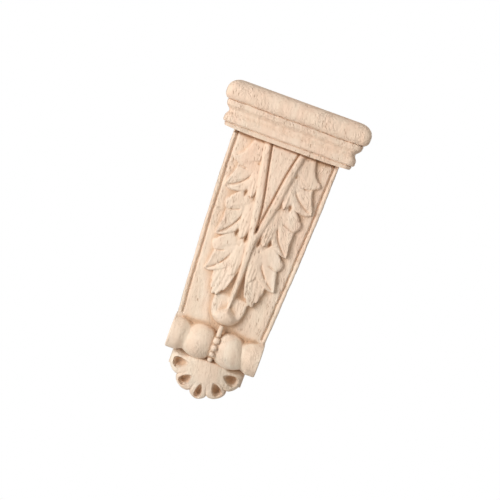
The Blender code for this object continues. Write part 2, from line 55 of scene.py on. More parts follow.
WALL_SLOPE = 5.0
FAR_BELOW = -9.0


def half_width(z):
    """Half the panel's width: the top width less a fall that grows as the 1.6th power of the way down."""
    fall = np.clip((PANEL_TOP - z) / (PANEL_TOP - PANEL_FOOT), 0, 1.1)
    return HALF_WIDTH_TOP - TAPER * fall**1.6


def ground(z):
    """How far the panel's ground stands off the wall: the foot's depth plus a rise by the 1.5th power of
    the way up, less a bell-shaped hollow along the foot."""
    rise = np.clip((z - PANEL_FOOT) / (PANEL_TOP - PANEL_FOOT), 0, 1.1)
    sinks = FOOT_HOLLOW * np.exp(-(((z - FOOT_HOLLOW_Z) / FOOT_HOLLOW_TALL) ** 2))
    return GROUND_FOOT + (GROUND_TOP - GROUND_FOOT) * rise**1.5 - sinks


def by_hand(way, size):
    """The carver's slight unevenness along an edge: three sines of unlike pitch, size at most."""
    return size * (0.5 * np.sin(0.31 * way + 1.0) + 0.3 * np.sin(1.13 * way) + 0.2 * np.sin(2.9 * way + 2.0))


def tube_mesh(name, rings):
    """A closed mesh from a (rings, points, 3) array: quads join each ring to the next, and one flat face
    closes each end."""
    levels, count = rings.shape[:2]
    index = np.arange(levels * count).reshape(levels, count)
    a, b = index[:-1], np.roll(index[:-1], -1, axis=1)
    quads = np.stack([a, b, b + count, a + count], axis=-1).reshape(-1, 4)
    faces = quads.tolist() + [index[0, ::-1].tolist(), index[-1].tolist()]
    mesh = bpy.data.meshes.new(name)
    mesh.from_pydata((rings.reshape(-1, 3) * (MM, -MM, MM)).tolist(), [], faces)
    piece = bpy.data.objects.new(name, mesh)
    bpy.context.scene.collection.objects.link(piece)
    return piece


# The acanthus leaves, cut from the same block: three a side, each with a blade that flares out to a tip, a
# broad lobe over its shoulder and a slim leaflet beside the stem, with drilled eyes where they part. A
# curve is given by its root, bend and tip, and widths by the outer and inner half width at the root.
LEAVES = (
    dict(
        vein=dict(curve=((6.6, 31.5), (6.6, 23.4), (15.2, 20.1)), widths=(8.4, 5.6), taper=0.53),
        lobe=dict(curve=((8.6, 42.0), (9.3, 31.3), (14.5, 30.0)), widths=(2.1, 6.6), end=0.9),
        slim=dict(curve=((6.2, 30.0), (6.6, 24.0), (5.9, 19.2)), widths=(2.5, 2.3)),
        crease=((15.4, 28.8), (13.0, 27.6), (10.4, 27.5)),
    ),
    dict(
        vein=dict(curve=((5.1, 17.0), (6.6, 7.6), (12.5, 3.7)), widths=(8.2, 4.2), taper=0.7),
        lobe=dict(curve=((6.0, 18.5), (8.5, 16.6), (11.2, 14.9)), widths=(3.8, 3.2), end=2.2),
        slim=dict(curve=((4.7, 17.0), (4.5, 10.0), (4.2, 5.0)), widths=(2.6, 3.4)),
        crease=((14.2, 12.0), (11.4, 12.3), (8.0, 13.8)),
    ),
    dict(
        vein=dict(curve=((3.4, 3.0), (6.6, -6.0), (12.3, -9.0)), widths=(8.0, 4.2), taper=0.7),
        lobe=dict(curve=((5.0, 3.5), (7.5, 1.8), (10.4, 0.2)), widths=(3.6, 3.0), end=2.15),
        slim=dict(curve=((3.3, 2.0), (3.7, -4.5), (3.4, -8.2)), widths=(2.7, 3.0)),
        crease=((13.2, -2.3), (11.4, -2.4), (8.2, -1.2)),
    ),
)
TIP_WIDTH = 0.3
VEIN_NECK, LOBE_SQUARE, SLIM_END, SLIM_TAPER = 0.4, 2.6, 0.4, 0.42
LEAF_LOW, LEAF_HIGH, LEAF_DISH = 1.0, 1.95, 0.35
LOBE_HIGH, LOBE_RISE, LOBE_BLEND = 1.75, 0.7, 2.4
SLIM_LIFT, SLIM_RISE, REED_HIGH, REED_PITCH = 0.2, 0.65, 0.08, 1.1
EDGE_EASE, EDGE_DROP = 0.6, 0.3
VEIN_DEEP, VEIN_WIDE, VEIN_SHARP = 0.75, 0.34, 1.4
CREASE_DEEP, CREASE_WIDE = 0.45, 0.26
EYES = ((4.35, 19.4), (8.0, 19.9), (2.3, 5.2), (5.9, 6.3))
EYE_DEEP, EYE_HALF_WIDE, EYE_HALF_TALL = 1.1, 0.42, 1.2
FLUTED = dict(
    curve=((5.2, -6.0), (5.6, -11.0), (6.5, -15.0)), widths=(4.4, 3.9), end=1.5, taper=0.5, square=3.0
)
FLUTED_LIFT, FLUTED_RISE = 0.1, 0.8
FLUTE_PITCH, FLUTE_SHIFT, FLUTE_HIGH, FLUTE_NOTCH = 1.6, 0.4, 0.16, 0.55


def along(curve, x, z, steps=60):
    """Place of each point beside the parabola through root, bend and tip: share of its length, signed
    distance and overrun past its ends."""
    root, bend, tip = (np.array(point, float) for point in curve)
    t = np.linspace(0, 1, steps)[:, None]
    spine = (1 - t) ** 2 * root + 2 * t * (1 - t) * bend + t**2 * tip
    heading = 2 * (1 - t) * (bend - root) + 2 * t * (tip - bend)
    speed = np.hypot(heading[:, 0], heading[:, 1])
    near = np.zeros(x.size, int)
    best = np.full(x.size, np.inf)
    for k in range(steps):
        gap = (x.ravel() - spine[k, 0]) ** 2 + (z.ravel() - spine[k, 1]) ** 2
        closer = gap < best
        near[closer] = k
        best[closer] = gap[closer]
    dx, dz = x.ravel() - spine[near, 0], z.ravel() - spine[near, 1]
    ux, uz = heading[near, 0] / speed[near], heading[near, 1] / speed[near]
    share = t[near, 0] + (dx * ux + dz * uz) / speed[near]
    side = dz * ux - dx * uz
    over = np.maximum(np.maximum(share - 1, -share), 0) * speed[near]
    return np.clip(share, 0, 1).reshape(x.shape), side.reshape(x.shape), over.reshape(x.shape)


def blade(x, z, curve, widths, end=TIP_WIDTH, taper=0.6, square=2.0, neck=0.01):
    """A blade about a curve: share along it, signed distance, distance over half width, and distance past
    the edge. The half width falls from its value at the root to the end's as a power of what is left of the
    length, and on the outer side it grows as a square root over the neck."""
    share, side, over = along(curve, x, z)
    outer = np.maximum(widths[0] * np.sqrt(np.clip(share / neck, 0, 1)), TIP_WIDTH)
    wide = np.where(side > 0, outer, widths[1])
    width = end + (wide - end) * (1 - share) ** taper
    reach = (np.abs(side) ** square + over**square) ** (1 / square)
    return share, side, reach / width, reach - width


def edged(top, past):
    """The height within the edge, eased down as a square close to it, and a steep straight wall beyond
    it."""
    ease = np.clip(1 + past / EDGE_EASE, 0, 1) ** 2
    return top - EDGE_DROP * ease - WALL_SLOPE * np.maximum(past, 0)


def eased(share):
    """The share with smooth ends: three times its square less twice its cube."""
    return share * share * (3 - 2 * share)


def score(x, z, curve, deep, wide):
    """Depth of a knife line along a curve: a bell across it that stops at both ends."""
    _, side, over = along(curve, x, z)
    return deep * np.exp(-((side / wide) ** 2) - (over / wide) ** 2)


def leaf(x, z, parts):
    """Height of one leaf. The blade rises evenly to its tip and dishes up to its outer edge as a square, and
    the lobe rises as a power; both blend into one sheet with a common outline, cut by the vein and a crease.
    The slim leaflet, its reeds a cosine across it, stands on them."""
    share, side, across, past = blade(x, z, **parts["vein"], neck=VEIN_NECK)
    top = LEAF_LOW + (LEAF_HIGH - LEAF_LOW) * share + LEAF_DISH * np.minimum(across, 1) ** 2 * (side > 0)
    fade = np.clip(share * 6, 0, 1) * np.clip((1 - share) * 12, 0, 1)
    vein = VEIN_DEEP * fade * np.exp(-((np.abs(side) / VEIN_WIDE) ** VEIN_SHARP))
    lobe_share, _, _, past_lobe = blade(x, z, **parts["lobe"], square=LOBE_SQUARE)
    lobe = LEAF_LOW + (LOBE_HIGH - LEAF_LOW) * lobe_share**LOBE_RISE
    mix = eased(np.clip(0.5 + (past - past_lobe) / LOBE_BLEND, 0, 1))
    main = edged(top + (lobe - top) * mix, np.minimum(past, past_lobe)) - vein
    share, side, across, past = blade(x, z, **parts["slim"], end=SLIM_END, taper=SLIM_TAPER)
    reed = REED_HIGH * np.cos(2 * np.pi * side / REED_PITCH) * np.clip(share * 4 - 1.2, 0, 1)
    round_off = LEAF_DISH * np.minimum(across, 1) ** 2
    slim = edged(LEAF_LOW + SLIM_LIFT + SLIM_RISE * share + reed - round_off, past)
    crease = score(x, z, parts["crease"], CREASE_DEEP, CREASE_WIDE)
    return np.maximum(main - crease, slim)


def eyes(x, z):
    """Depth of the drilled eyes: a bell round each, taller than wide."""
    deep = np.zeros(x.shape)
    for ex, ez in EYES:
        deep = np.maximum(deep, np.exp(-(((x - ex) / EYE_HALF_WIDE) ** 2) - ((z - ez) / EYE_HALF_TALL) ** 2))
    return EYE_DEEP * deep


def fluted_leaf(x, z):
    """The short last leaf: a square-ended blade carrying reeds, each the upper half of a sine across it,
    with its edge drawn in between them."""
    share, side, _, past = blade(x, z, **FLUTED)
    flute = np.abs(np.sin(np.pi * (side + FLUTE_SHIFT) / FLUTE_PITCH))
    top = LEAF_LOW + FLUTED_LIFT + FLUTED_RISE * share + FLUTE_HIGH * flute
    return edged(top, past + FLUTE_NOTCH * share * (1 - flute))


# The leaf's end. It lies in a U-shaped outline with two flat panels, and its tip turns over in a soft round
# lip, all of it left standing when the ground round it was cut away.
TONGUE_TOP, TONGUE_MID, TONGUE_END, TONGUE_HALF = -16.0, -17.5, -25.4, 5.9
TONGUE_SQUARE, TONGUE_HEAD_FALL = 2.3, 0.55
TONGUE_HIGH, TONGUE_RISE, TONGUE_DISH = 1.3, 0.16, 0.35
TONGUE_EDGE, TONGUE_EDGE_RUN = 0.25, 1.1
LIP_TOP, LIP_SLANT, LIP_RUN = -18.4, 0.8, 2.1
LIP_CREST, LIP_HIGH, LIP_ROUND, LIP_LONG, LIP_ARCH = -23.0, 4.7, 1.3, 4.2, 0.05
LIP_EDGE, LIP_EDGE_RUN = 1.6, 2.6


def tongue(x, z):
    """Panels that rise evenly downwards, and a dome that falls off as the square of the way from its
    crest."""
    below = np.clip((TONGUE_MID - z) / (TONGUE_MID - TONGUE_END), 0, 3)
    reach = ((x / TONGUE_HALF) ** TONGUE_SQUARE + below**TONGUE_SQUARE) ** (1 / TONGUE_SQUARE)
    past = TONGUE_HALF * (reach - 1)
    flat = TONGUE_HIGH + TONGUE_RISE * (TONGUE_MID - z) + TONGUE_DISH * (x / TONGUE_HALF) ** 2
    flat = flat - TONGUE_HEAD_FALL * np.maximum(z - TONGUE_TOP, 0)
    dome = LIP_HIGH - LIP_ROUND * ((z - LIP_CREST) / LIP_LONG) ** 2 - LIP_ARCH * x**2
    dome = dome - LIP_EDGE * np.clip(1 + past / LIP_EDGE_RUN, 0, 1) ** 2.2
    over = np.clip((LIP_TOP - LIP_SLANT * x - z) / LIP_RUN, 0, 1)
    top = flat + np.maximum(dome - flat, 0) * eased(over)
    return edged(top, past) - TONGUE_EDGE * np.clip(1 + past / TONGUE_EDGE_RUN, 0, 1) ** 2


# The forked stem. Two flat arms come down from under the cap with a web between them, meet in a drilled eye
# and run on as a mid-rib to the tongue; a knife groove follows each arm's inner edge.
FORK_FOOT, ARM_ROOT, ARM_PARTS = 8.0, 4.0, 3.0
ARM_INSIDE, ARM_OUTSIDE, ARM_CREST, ARM_FALL = 5.0, 7.3, 2.45, 2.4
ARM_SHOULDER, ARM_SHOULDER_RUN, ARM_EASE, ARM_EASE_RUN = 0.75, 1.1, 0.25, 0.6
WEB, WEB_RISE = 2.0, 0.3
GROOVE_DEEP, GROOVE_WIDE = 1.15, 0.36
FORK_EYE_DEEP, FORK_EYE_HALF, FORK_EYE_LIFT, FORK_EYE_TALL = 2.4, 0.4, 1.1, 1.3
RIB_HALF, RIB_NARROWS, RIB_CREST, RIB_SINKS, RIB_END = 1.2, 0.75, 2.7, 0.2, -19.4
RIB_ROUND, RIB_FALL = 0.4, 3.4


def forked_stem(x, z):
    """Height of the arms and web, and depth of the grooves and the eye: each arm lies between two edge
    curves, powers of the way up, with its shoulders eased down as squares."""
    up = np.clip((z - FORK_FOOT) / (PANEL_TOP - FORK_FOOT), 0, 1.1)
    out = np.clip((z - ARM_ROOT) / (PANEL_TOP - ARM_ROOT), 0, 1.1)
    inside = ARM_INSIDE * up**1.3
    outside = RIB_HALF + (ARM_OUTSIDE - RIB_HALF) * out**0.8
    shoulder = ARM_SHOULDER * np.clip(1 + (x - outside) / ARM_SHOULDER_RUN, 0, 1) ** 2
    inner = ARM_EASE * np.clip(1 - (x - inside) / ARM_EASE_RUN, 0, 1) ** 2
    arm = ARM_CREST - shoulder - ARM_FALL * np.maximum(x - outside, 0) - inner
    web = np.where(x < inside, WEB + WEB_RISE * (1 - up), FAR_BELOW)
    arm = np.where(x < inside, FAR_BELOW, arm)
    stem = np.where(z > FORK_FOOT, np.maximum(arm, web), np.where(z > ARM_PARTS, arm, FAR_BELOW))
    groove = np.exp(-(((x - inside) / GROOVE_WIDE) ** 2)) * np.clip(up * 12, 0, 1)
    eye_end = np.clip(1.4 - np.abs(z - FORK_FOOT - FORK_EYE_LIFT) / FORK_EYE_TALL, 0, 1)
    eye = np.exp(-((x / FORK_EYE_HALF) ** 2)) * eye_end
    return stem, GROOVE_DEEP * groove + FORK_EYE_DEEP * eye


def rib(x, z):
    """The mid-rib: a round-shouldered ridge, narrowing and sinking evenly from the fork to the tongue."""
    down = np.clip((FORK_FOOT + 1 - z) / (FORK_FOOT + 1 - RIB_END), 0, 1)
    half = RIB_HALF - RIB_NARROWS * down
    crest = RIB_CREST - RIB_SINKS * down
    top = crest - RIB_ROUND * np.minimum(x / half, 1) ** 4 - RIB_FALL * np.maximum(x - half, 0)
    return np.where((z < FORK_FOOT + 1) & (z > RIB_END), top, FAR_BELOW)


# The carved panel: level sections from inside the bolster up into the cap. Columns keep a fixed distance
# from the edges there, so that the border groove and the rounded corner run cleanly down the taper. The
# leaves lie on a low bed beside the stem and lean outwards, and the midline wavers a little.
CELL = 0.225
BOLSTER_Z = -34.0
PANEL_INTO_CAP, PANEL_BACK = 2.5, -1.0
EDGE_STRIP, MIDDLE_FROM_EDGE = 2.5, 2.7
BORDER, BORDER_UNEVEN, SIDE_UNEVEN = 1.65, 0.14, 0.1
BORDER_GROOVE_DEEP, BORDER_GROOVE_WIDE = 1.05, 0.36
UNDERCUT, UNDERCUT_TALL = 1.7, 0.65
WAVER, WAVER_TURN = 0.16, 0.23
LEAF_STRETCH, LEAF_LEAN, LEAF_LEVEL_AT = 1.006, 0.1, 8.0
BED_HIGH, BED_EDGE, BED_FALL, BED_END, BED_FADE = 0.85, 6.2, 0.7, -9.0, 3.0


def relief(x, z):
    """Height over the ground: the highest of all the forms, mirrored about a midline that wavers as a sine,
    less what the grooves, the eyes and the undercut below the cap take away."""
    undercut = UNDERCUT * np.exp(-(((z - PANEL_TOP) / UNDERCUT_TALL) ** 2))
    inside = np.abs(x) - half_width(z) + BORDER + by_hand(z + x, BORDER_UNEVEN)
    border = np.exp(-((inside / BORDER_GROOVE_WIDE) ** 2))
    border = BORDER_GROOVE_DEEP * border * np.clip((z - PANEL_FOOT - 1) * 3, 0, 1)
    x = np.abs(x + WAVER * np.sin(WAVER_TURN * z + 0.6))
    z = z / LEAF_STRETCH
    top = BED_HIGH * np.clip((z - BED_END) / BED_FADE, 0, 1) - BED_FALL * np.maximum(x - BED_EDGE, 0)
    for parts in LEAVES:
        top = np.maximum(top, leaf(x, z, parts))
    top = np.maximum(top, fluted_leaf(x, z)) - eyes(x, z)
    top = top + LEAF_LEAN * (LEAF_LEVEL_AT - x) * np.clip(top / LEAF_LOW, 0, 1)
    top = np.maximum(np.maximum(top, 0), tongue(x, z))
    stem, cut = forked_stem(x, z)
    return np.maximum(np.maximum(top, stem), rib(x, z)) - cut - border - undercut


def panel():
    """Level sections: side wall, rounded corner, carved front, corner and side wall, stacked as a closed
    tube."""
    level = np.arange(BOLSTER_Z, PANEL_TOP + PANEL_INTO_CAP, CELL)[:, None]
    w = half_width(level) + by_hand(level, SIDE_UNEVEN)
    strip = np.linspace(EDGE_ROUND, EDGE_STRIP, 10)[None, :]
    middle = np.linspace(-1, 1, int(2 * (HALF_WIDTH_TOP - MIDDLE_FROM_EDGE) / CELL))[None, :]
    x = np.concatenate([strip - w, middle * (w - MIDDLE_FROM_EDGE), (w - strip)[:, ::-1]], axis=1)
    z = level + 0 * x
    front = np.stack([x, ground(z) + relief(x, z), z], axis=-1)
    turn = np.linspace(0, np.pi / 2, 5)[None, :-1]
    out = w - EDGE_ROUND + EDGE_ROUND * np.cos(turn)
    deep = ground(level) - EDGE_ROUND + EDGE_ROUND * np.sin(turn)
    out = np.concatenate([w, w, out], axis=1)
    deep = np.concatenate([0 * w + PANEL_BACK, 0.5 * ground(level), deep], axis=1)
    side = np.stack([out, deep, level + 0 * out], axis=-1)
    rings = np.concatenate([side * (-1, 1, 1), front, side[:, ::-1]], axis=1)
    return tube_mesh("corbel_carving", rings)


carving = panel()

# The cap. A fillet, an ovolo, a cove, a second fillet and a bullnose are run round its front and both ends
# in one cut, with rounded corners and a sunk line over each fillet, and its top is flat.
CAP_UNDERSIDE, CAP_ROOT, CAP_BACK, CAP_CORNER, CAP_UNEVEN = 38.6, -2.0, -1.2, 2.4, 0.16
FILLET_FOOT, FILLET_HEAD, FILLET_EASE, FOOT_LIFT = 3.4, 3.8, 0.25, 0.5
QUIRK, QUIRK_TALL = 0.3, 0.12
OVOLO_FOOT, OVOLO, OVOLO_LOW, OVOLO_HIGH, OVOLO_BACK = 40.2, 4.5, 41.1, 42.2, 0.05
CAP_COVE, CAP_COVE_MIDDLE = 3.6, 44.4
BAND, BAND_FOOT, BAND_FLARE = 5.0, 46.4, 0.2
BULLNOSE_FOOT, BULLNOSE_UNDER, BULLNOSE_BREAK = 47.75, 50.2, 50.8
BULLNOSE, BULLNOSE_FRONT, BULLNOSE_RUN = 6.5, 51.1, 4.4


def quarter(start, end, rises_first, steps):
    """A quarter ellipse from start to end, which leaves straight up or straight out."""
    angle = np.linspace(0, np.pi / 2, steps + 1)
    ease_out, ease_in = np.sin(angle), 1 - np.cos(angle)
    over, up = (ease_in, ease_out) if rises_first else (ease_out, ease_in)
    return np.stack([start[0] + (end[0] - start[0]) * over, start[1] + (end[1] - start[1]) * up], axis=1)


def line(start, end, steps):
    """Evenly spaced points from start up to, but not with, end."""
    return np.linspace(start, end, steps, endpoint=False)


def swing(start, end, steps):
    """Half a cosine from start towards end, upright at both."""
    ease = (1 - np.cos(np.linspace(0, np.pi, steps, endpoint=False))) / 2
    height = np.linspace(start[1], end[1], steps, endpoint=False)
    return np.stack([start[0] + (end[0] - start[0]) * ease, height], axis=1)


def cap_profile():
    """Overhang beyond the panel and height, from the underside up: straight fillets, a wave of half cosines
    for ovolo and cove, and an elliptic bullnose."""
    underside = (FILLET_FOOT, CAP_UNDERSIDE)
    fillet_edge = (FILLET_HEAD, OVOLO_FOOT - FILLET_EASE)
    lower_line = FILLET_HEAD - QUIRK
    ovolo_foot, ovolo_head = (OVOLO, OVOLO_LOW), (OVOLO - OVOLO_BACK, OVOLO_HIGH)
    cove, band = (CAP_COVE, CAP_COVE_MIDDLE), (BAND, BAND_FOOT)
    band_edge = (BAND + BAND_FLARE, BULLNOSE_FOOT - BAND_FLARE)
    upper_line = BAND - QUIRK
    nose = (BULLNOSE, BULLNOSE_FRONT)
    return np.concatenate(
        [
            line((CAP_ROOT, CAP_UNDERSIDE), underside, 1),
            line(underside, fillet_edge, 6),
            line(fillet_edge, (lower_line, OVOLO_FOOT), 2),
            quarter((lower_line, OVOLO_FOOT + QUIRK_TALL), ovolo_foot, False, 8)[:-1],
            swing(ovolo_foot, ovolo_head, 4),
            swing(ovolo_head, cove, 14),
            swing(cove, band, 12),
            line(band, band_edge, 4),
            line(band_edge, (upper_line, BULLNOSE_FOOT), 2),
            quarter((upper_line, BULLNOSE_FOOT + QUIRK_TALL), (BULLNOSE, BULLNOSE_UNDER), False, 10),
            line((BULLNOSE, BULLNOSE_BREAK), nose, 1),
            quarter(nose, (BULLNOSE - BULLNOSE_RUN, TOP), True, 18),
        ]
    )


def cap():
    """The profile carried round a rectangle with quarter-round corners: side run, corner, front run,
    corner, side run. Its foot lifts a little towards the ends, by the 4th power of the way out, and its
    lines are uneven."""
    over, height = (column[:, None] for column in cap_profile().T)
    w, deep = HALF_WIDTH_TOP + over, GROUND_TOP + over
    turn = np.linspace(0, np.pi / 2, 14)[None, :]
    corner_x = w - CAP_CORNER + CAP_CORNER * np.cos(turn)
    corner_y = deep - CAP_CORNER + CAP_CORNER * np.sin(turn)
    side = np.linspace(0, 1, 24)[None, :-1]
    side_y = CAP_BACK + side * (deep - CAP_CORNER - CAP_BACK)
    front = np.linspace(1, 0, 60)[None, 1:-1]
    x = np.concatenate([w + 0 * side, corner_x, front * (w - CAP_CORNER)], axis=1)
    y = np.concatenate([side_y, corner_y, deep + 0 * front], axis=1)
    near_foot = np.clip((OVOLO_FOOT - height) / (OVOLO_FOOT - CAP_UNDERSIDE), 0, 1) * (over > 0)
    z = height + FOOT_LIFT * near_foot * (x / (HALF_WIDTH_TOP + FILLET_HEAD)) ** 4
    rings = np.stack([x, y, z], axis=-1)
    rings = np.concatenate([rings * (-1, 1, 1), rings[:, ::-1]], axis=1)
    within = np.sin(np.pi * (height - CAP_UNDERSIDE) / (TOP - CAP_UNDERSIDE))
    rings[:, :, 2] += by_hand(rings[:, :, 0] + rings[:, :, 1], CAP_UNEVEN) * within
    return tube_mesh("cap", rings)


# The bolster. It is turned about a level axis: a groove in the middle for the beads, two fat bulges, two
# deep coves and a flange at each end; behind its axis it runs straight back to the wall.
BOLSTER_DEEP, BOLSTER_BACK, BOLSTER_END = 7.5, -1.4, 16.4
BEAD_GROOVE_HALF, BEAD_GROOVE_RADIUS = 1.35, 5.0
BULGE_MID, BULGE_RADIUS, BULGE_SHOULDER, BULGE_POWERS = 5.6, 6.5, 5.1, (0.6, 0.9)
COVE_X, COVE_RADIUS = 9.9, 5.05
FLANGE_SLOPE_TO, FLANGE_RADIUS, FLANGE_EASE = 13.4, 6.1, 0.5
BULGE_LEAN_LEFT, BULGE_LEAN_RIGHT = 0.05, 0.16
BOLSTER_STATIONS = ((0.1, 1.2, 6), (1.3, 9.8, 32), (COVE_X, BOLSTER_END, 32))


def bolster_radius(x):
    """Radius at a distance from the middle: a step up from the groove, a power of half a sine over the
    bulge, the cove, then a half cosine up to the flange, with the end's edge eased."""
    swell = np.clip((x - BEAD_GROOVE_HALF) / (2 * (BULGE_MID - BEAD_GROOVE_HALF)), 0, 1)
    fullness = np.sin(np.pi * swell) ** np.where(swell < 0.5, *BULGE_POWERS)
    bulge = BULGE_SHOULDER + (BULGE_RADIUS - BULGE_SHOULDER) * fullness
    slope = np.clip((x - COVE_X) / (FLANGE_SLOPE_TO - COVE_X), 0, 1)
    flange = COVE_RADIUS + (FLANGE_RADIUS - COVE_RADIUS) * (1 - np.cos(slope * np.pi)) / 2
    radius = np.where(x < 2 * BULGE_MID - BEAD_GROOVE_HALF, bulge, np.where(x < COVE_X, COVE_RADIUS, flange))
    radius = np.where(x < BEAD_GROOVE_HALF, BEAD_GROOVE_RADIUS, radius)
    return radius - np.clip(x - BOLSTER_END + FLANGE_EASE, 0, 1) ** 2


def bolster():
    """Each station along x is a half circle of that radius in front, closed by straight runs back past the
    wall. The bulges and coves lean outwards below the axis and inwards above it, as the sine of the
    turn."""
    half = np.concatenate([np.linspace(*stations) for stations in BOLSTER_STATIONS])
    x = np.concatenate([half[::-1], -half])[:, None]
    r = bolster_radius(np.abs(x))
    turn = np.linspace(-np.pi / 2, np.pi / 2, 60)[None, :]
    y = BOLSTER_DEEP + r * np.cos(turn)
    z = BOLSTER_Z + r * np.sin(turn)
    window = np.clip((FLANGE_SLOPE_TO - np.abs(x)) / (FLANGE_SLOPE_TO - COVE_X), 0, 1)
    lean = np.where(x > 0, BULGE_LEAN_RIGHT, BULGE_LEAN_LEFT) * window
    x = x * (1 - lean * np.sin(turn) * np.abs(np.cos(turn)) ** 0.3)
    back = 0 * x[:, :1] + BOLSTER_BACK
    x = np.concatenate([x[:, :1], x, x[:, -1:]], axis=1)
    y = np.concatenate([back, y, back], axis=1)
    z = np.concatenate([z[:, :1], z, z[:, -1:]], axis=1)
    return tube_mesh("bolster", np.stack([x, y, z], axis=-1))


# The shell. A fan of five lobes under the bolster, domed from hub to rim, with a teardrop hollow gouged in
# each lobe; its upper edge is bevelled back and a tab carries on up into the bolster. Each hollow is given
# by its angle, where it starts and ends, and its half width.
SHELL_Z, SHELL_BACK = -41.3, -1.6
SHELL_REACH = SHELL_Z - LOW[2]
SHELL_HUB_DEEP, SHELL_RIM_DEEP = 9.8, 6.0
RIM_ROUND = ((0.90, 0.94, 0.97, 0.99, 1.0), (0.0, 0.15, 0.45, 0.9, 1.5))
SHELL_NOTCH, SHELL_SIDE, SHELL_TAB, LOBE_REACHES = 11.7, 13.4, 5.0, (13.7, 13.2, 13.6)
LOBE_EDGES = (0, 15.5, 33.5, 51.5, 70.5, 89.0)
EVEN_EDGES = (0, 18, 36, 54, 72, 90)
HOLLOWS = ((0.0, 6.9, 12.9, 1.9), (36.5, 6.7, 12.3, 2.5), (74.0, 6.6, 12.4, 2.8))
HOLLOW_DEEP, HOLLOW_EDGE = 3.9, 0.05
LOBE_CREASE, LOBE_CREASE_WIDE, LOBE_CREASE_FROM, LOBE_CREASE_RUN = 0.5, 0.35, 7, 5
BEVEL_DEEP, BEVEL_TALL, BEVEL_BELOW, BEVEL_LIFT = 2.6, 1.4, 0.1, 1.5
BEVEL_FROM, BEVEL_RUN = 8.0, 2.5


def shell_outline(turn):
    """Edge radius by angle from straight down: notch radius plus a cosine bulge a lobe, the lobes' edges
    being given; above the last lobe's middle, a plain rectangle."""
    even = np.interp(np.degrees(np.abs(turn)), LOBE_EDGES, EVEN_EDGES)
    tallest = np.interp(even, (0, 36, 72), LOBE_REACHES)
    lobes = SHELL_NOTCH + (tallest - SHELL_NOTCH) * np.abs(np.cos(np.radians(5 * even))) ** 0.65
    to_side = SHELL_SIDE / np.maximum(np.abs(np.sin(turn)), 0.1)
    block = np.minimum(to_side, SHELL_TAB / np.maximum(-np.cos(turn), 0.01))
    return np.where(even < 72, lobes, np.where(np.abs(turn) <= np.pi / 2, np.maximum(block, lobes), block))


def hollow(x, drop):
    """Share of the hollows' depth: gouged half rounds that start at a point near the hub, widen and deepen
    as a power of the way out and end in a steep curve inside the rim."""
    share_deep = np.zeros(x.shape)
    for angle, start, end, wide in HOLLOWS:
        out, along_rim = np.sin(np.radians(angle)), np.cos(np.radians(angle))
        run = (np.abs(x) * out + drop * along_rim - start) / (end - start)
        across = np.abs(np.abs(x) * along_rim - drop * out)
        share = np.clip(run, 0, 1)
        width = wide * share**0.65 * np.sqrt(1 - share**4) + HOLLOW_EDGE
        bowl = np.clip(1 - (across / width) ** 2, 0, 1) ** 0.8 * np.sin(np.pi * share**1.4) ** 0.8
        share_deep = np.maximum(share_deep, bowl * ((run > 0) & (run < 1)))
    return share_deep


def shell_depth(x, z):
    """Depth off the wall: the hub's depth less a fall by the 1.6th power of the radius, less the hollows,
    the creases between the lobes and a bevel along the upper edge beyond the bulges."""
    drop = SHELL_Z - z
    r = np.hypot(x, drop)
    deep = SHELL_HUB_DEEP - (SHELL_HUB_DEEP - SHELL_RIM_DEEP) * np.clip(r / SHELL_REACH, 0, 1) ** 1.6
    under_bulge = np.clip((BEVEL_FROM - np.abs(x)) / BEVEL_RUN, 0, 1)
    top_bevel = np.clip((z - SHELL_Z + BEVEL_BELOW - BEVEL_LIFT * under_bulge) / BEVEL_TALL, 0, 1)
    turn = np.degrees(np.abs(np.arctan2(x, drop)))
    crease = np.zeros(x.shape)
    for edge in LOBE_EDGES[1:5:2]:
        crease = np.maximum(crease, np.exp(-((r * np.radians(turn - edge) / LOBE_CREASE_WIDE) ** 2)))
    crease = LOBE_CREASE * crease * np.clip((r - LOBE_CREASE_FROM) / LOBE_CREASE_RUN, 0, 1)
    return deep - HOLLOW_DEEP * hollow(x, drop) - crease - BEVEL_DEEP * top_bevel


def shell():
    """Rings from the hub out, each the outline scaled down, carried over the rim and back past the wall."""
    lower = np.linspace(-np.pi / 2, np.pi / 2, 221)
    upper = np.linspace(np.pi / 2, 3 * np.pi / 2, 31)[1:-1]
    turn = np.concatenate([lower, upper])[None, :]
    edge = shell_outline(np.where(turn > np.pi, turn - 2 * np.pi, turn))
    share = np.concatenate([[0.004], np.linspace(0.03, 0.95, 52), [0.97, 0.985, 0.995, 1.0]])[:, None]
    ease = np.interp(share, *RIM_ROUND)
    x = share * edge * np.sin(turn)
    z = SHELL_Z - share * edge * np.cos(turn)
    front = np.stack([x, shell_depth(x, z) - ease, z], axis=-1)
    wall = np.stack([x[-1:], 0 * x[-1:] + SHELL_BACK, z[-1:]], axis=-1)
    return tube_mesh("shell", np.concatenate([front, wall])[::-1])


# The bead string. A short rod under the tongue and four beads that shrink downwards lie in the bolster's
# middle groove; they are cut in the round from the same wood. Each bead is given by its height and radius.
BEADS = ((-31.5, 1.25), (-33.95, 1.12), (-36.35, 1.0), (-38.8, 0.95))
BEAD_LINE_RADIUS = 5.5
ROD_RADIUS, ROD_Z, ROD_DEEP, ROD_STRETCH = 0.85, -28.2, 11.3, 2.7


def ball(name, centre, radius, stretch=1.0):
    """Rings of a sphere, its two halves moved apart where it is stretched into a rod."""
    lift = np.linspace(-np.pi / 2, np.pi / 2, 17)[1:-1, None]
    around = np.linspace(0, 2 * np.pi, 24, endpoint=False)[None, :]
    x = radius * np.cos(lift) * np.cos(around)
    y = -radius * np.cos(lift) * np.sin(around)
    z = radius * (np.sin(lift) + np.sign(np.round(lift, 3)) * (stretch - 1)) + 0 * around
    return tube_mesh(name, np.stack([x, y, z], axis=-1) + centre)


